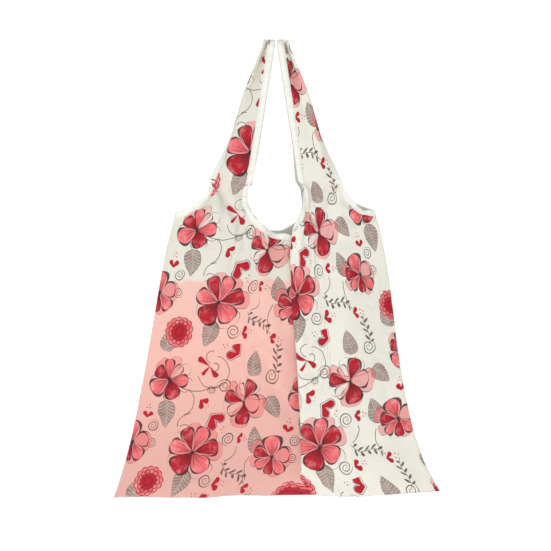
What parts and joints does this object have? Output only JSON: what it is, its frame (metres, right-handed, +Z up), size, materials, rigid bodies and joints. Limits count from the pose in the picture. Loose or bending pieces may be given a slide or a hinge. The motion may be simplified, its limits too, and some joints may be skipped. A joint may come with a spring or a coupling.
{
  "type": "foldable tote bag",
  "caption": "Vest-shaped shopping bag of thin cloth with hinged shoulder handles, taped edges, and an inside pouch with a snap flap that it folds into.",
  "frame": {"origin": "the point where a hook, rail or hand carries the bag: the middle of the inside of the two handle loops at their highest point", "axes": "+X to the viewer's right as the front faces the viewer (left and right in the names are the viewer's), +Y from the front panel to the back panel, +Z up"},
  "size_m": [0.52, 0.0695, 0.7183],
  "materials": {
    "printed_cloth": "thin woven polyester with a slight shine and an all-over floral print",
    "edge_tape": "warm white woven bias tape",
    "overlock": "cut cloth edge covered with white overlock thread",
    "label": "blank white satin label",
    "snap": "moulded pale plastic press stud"
  },
  "bodies": {
    "bag_body": {"front_panel": "printed_cloth", "back_panel": "printed_cloth", "front_neck_tape": "edge_tape", "back_neck_tape": "edge_tape", "left_front_armhole_tape": "edge_tape", "left_back_armhole_tape": "edge_tape", "right_front_armhole_tape": "edge_tape", "right_back_armhole_tape": "edge_tape", "left_side_seam": "overlock", "right_side_seam": "overlock", "bottom_seam": "overlock", "care_label": "label"},
    "left_handle": {"left_front_strap": "printed_cloth", "left_back_strap": "printed_cloth", "left_handle_seam": "printed_cloth", "left_handle_neck_tape": "edge_tape", "left_handle_armhole_tape": "edge_tape"},
    "right_handle": {"right_front_strap": "printed_cloth", "right_back_strap": "printed_cloth", "right_handle_seam": "printed_cloth", "right_handle_neck_tape": "edge_tape", "right_handle_armhole_tape": "edge_tape"},
    "storage_pouch": {"pouch_tab": "edge_tape", "pouch_back": "printed_cloth", "pouch_front": "printed_cloth", "pouch_side_tape": "edge_tape", "snap_stud": "snap"},
    "pouch_lid": {"pouch_flap": "printed_cloth", "snap_socket": "snap"}
  },
  "joints": [
    {"name": "left_handle_fold", "type": "hinge", "parent": "bag_body", "child": "left_handle", "pos_m": [-0.0665, 0, -0.215], "axis": [0, -1, 0], "range_deg": [0, 100]},
    {"name": "right_handle_fold", "type": "hinge", "parent": "bag_body", "child": "right_handle", "pos_m": [0.0665, 0, -0.215], "axis": [0, 1, 0], "range_deg": [0, 100]},
    {"name": "pouch_swing", "type": "hinge", "parent": "bag_body", "child": "storage_pouch", "pos_m": [0, 0.0249, -0.293], "axis": [-1, 0, 0], "range_deg": [0, 14]},
    {"name": "flap_fold", "type": "hinge", "parent": "storage_pouch", "child": "pouch_lid", "pos_m": [0, 0.0138, -0.317], "axis": [-1, 0, 0], "range_deg": [0, 140]}
  ]
}
